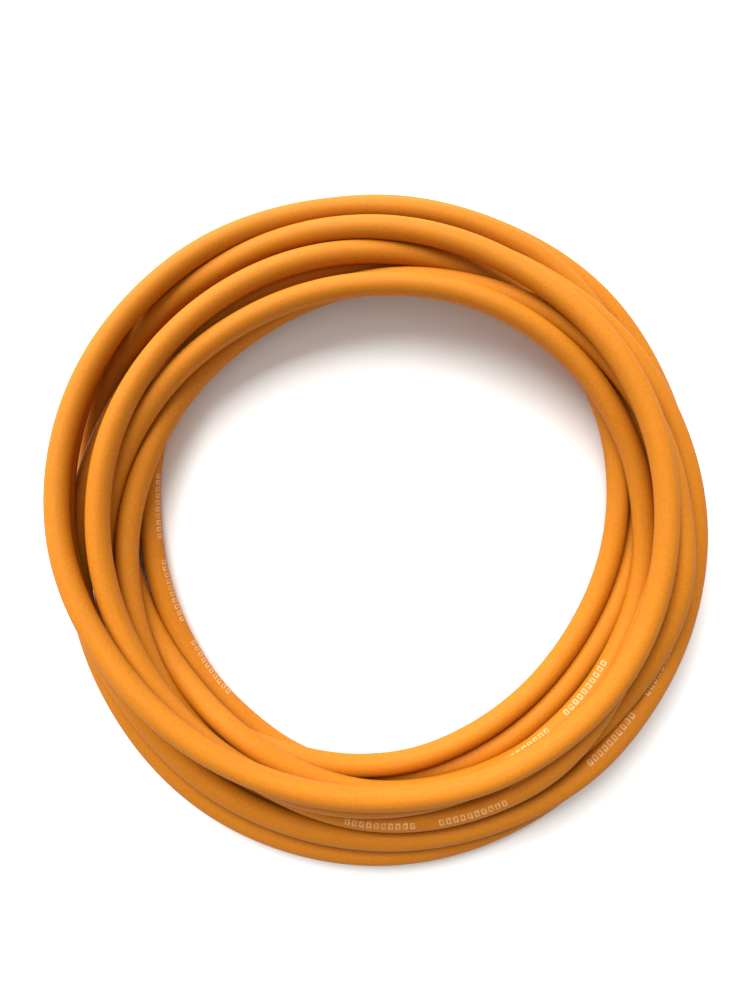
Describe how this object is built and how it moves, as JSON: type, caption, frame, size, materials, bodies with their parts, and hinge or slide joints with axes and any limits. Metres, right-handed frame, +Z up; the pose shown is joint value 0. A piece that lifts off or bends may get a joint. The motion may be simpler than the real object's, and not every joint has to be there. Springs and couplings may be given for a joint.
{
  "type": "coiled instrument cable",
  "caption": "Round shielded instrument cable in a matte orange jacket, wound into a loose flat coil that lies on its side, with plain cut ends tucked under the turns.",
  "frame": {"origin": "middle of the coil, on the surface that it lies on", "axes": "+Z up out of the coil; +X and +Y lie in the plane of the coil"},
  "size_m": [0.184, 0.196, 0.03],
  "materials": {
    "jacket": "matte extruded PVC, faint sheen",
    "shield": "bare copper wire braid",
    "conductive_sheath": "matte carbon-loaded PVC",
    "insulation": "natural polyethylene, waxy",
    "core_copper": "bright bare copper strands"
  },
  "bodies": {
    "root": {"coil": "jacket", "start_jacket": "jacket", "start_braid_shield": "shield", "start_conductive_sheath": "conductive_sheath", "start_insulation": "insulation", "start_core_strand_0": "core_copper", "start_core_strand_1": "core_copper", "start_core_strand_2": "core_copper", "start_core_strand_3": "core_copper", "start_core_strand_4": "core_copper", "start_core_strand_5": "core_copper", "start_core_strand_6": "core_copper", "finish_jacket": "jacket", "finish_braid_shield": "shield", "finish_conductive_sheath": "conductive_sheath", "finish_insulation": "insulation", "finish_core_strand_0": "core_copper", "finish_core_strand_1": "core_copper", "finish_core_strand_2": "core_copper", "finish_core_strand_3": "core_copper", "finish_core_strand_4": "core_copper", "finish_core_strand_5": "core_copper", "finish_core_strand_6": "core_copper"}
  },
  "joints": []
}
